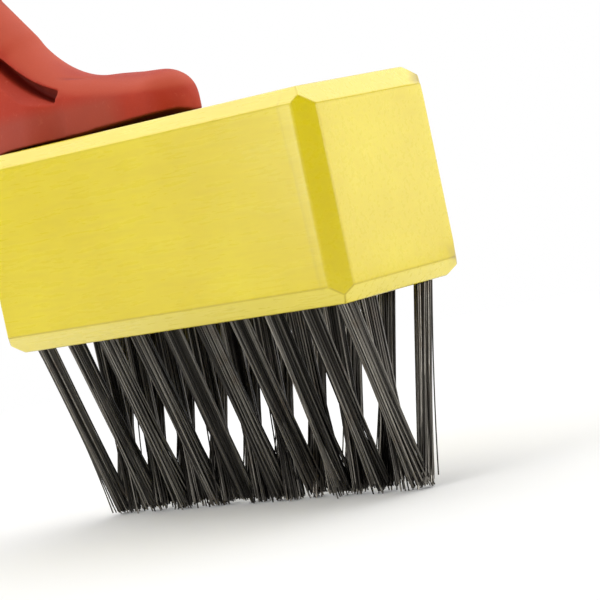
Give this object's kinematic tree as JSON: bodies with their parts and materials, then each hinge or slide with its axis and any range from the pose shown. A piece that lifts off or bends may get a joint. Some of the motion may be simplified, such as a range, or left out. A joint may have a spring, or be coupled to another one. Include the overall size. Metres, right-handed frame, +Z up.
{
  "type": "wire scraper brush head",
  "caption": "Brush head for scraping weeds and moss out of paving joints: a chamfered wooden block, rows of leaning steel wire tufts and a plastic bracket with a plug-in neck.",
  "frame": {"origin": "under the middle of the whole head, on the plane of the wire tips", "axes": "+X along the block from the end under the neck to the bare end, +Y towards the back row of tufts, +Z up out of the block's top"},
  "size_m": [0.2128, 0.059, 0.218],
  "materials": {
    "lacquered_wood": "yellow lacquer over fine-grained hardwood",
    "red_plastic": "moulded, satin, finely textured",
    "wire": "oil-tempered spring steel wire, dark",
    "zinc_steel": "zinc plated"
  },
  "bodies": {
    "root": {"block": "lacquered_wood", "handle_bracket": "red_plastic", "front_screw": "zinc_steel", "back_screw": "zinc_steel", "front_tufts": "wire", "front_anchor_01": "zinc_steel", "front_anchor_02": "zinc_steel", "front_anchor_03": "zinc_steel", "front_anchor_04": "zinc_steel", "front_anchor_05": "zinc_steel", "front_anchor_06": "zinc_steel", "front_anchor_07": "zinc_steel", "front_anchor_08": "zinc_steel", "front_anchor_09": "zinc_steel", "front_anchor_10": "zinc_steel", "middle_tufts": "wire", "middle_anchor_01": "zinc_steel", "middle_anchor_02": "zinc_steel", "middle_anchor_03": "zinc_steel", "middle_anchor_04": "zinc_steel", "middle_anchor_05": "zinc_steel", "middle_anchor_06": "zinc_steel", "middle_anchor_07": "zinc_steel", "middle_anchor_08": "zinc_steel", "middle_anchor_09": "zinc_steel", "back_tufts": "wire", "back_anchor_01": "zinc_steel", "back_anchor_02": "zinc_steel", "back_anchor_03": "zinc_steel", "back_anchor_04": "zinc_steel", "back_anchor_05": "zinc_steel", "back_anchor_06": "zinc_steel", "back_anchor_07": "zinc_steel", "back_anchor_08": "zinc_steel", "back_anchor_09": "zinc_steel", "back_anchor_10": "zinc_steel"}
  },
  "joints": []
}
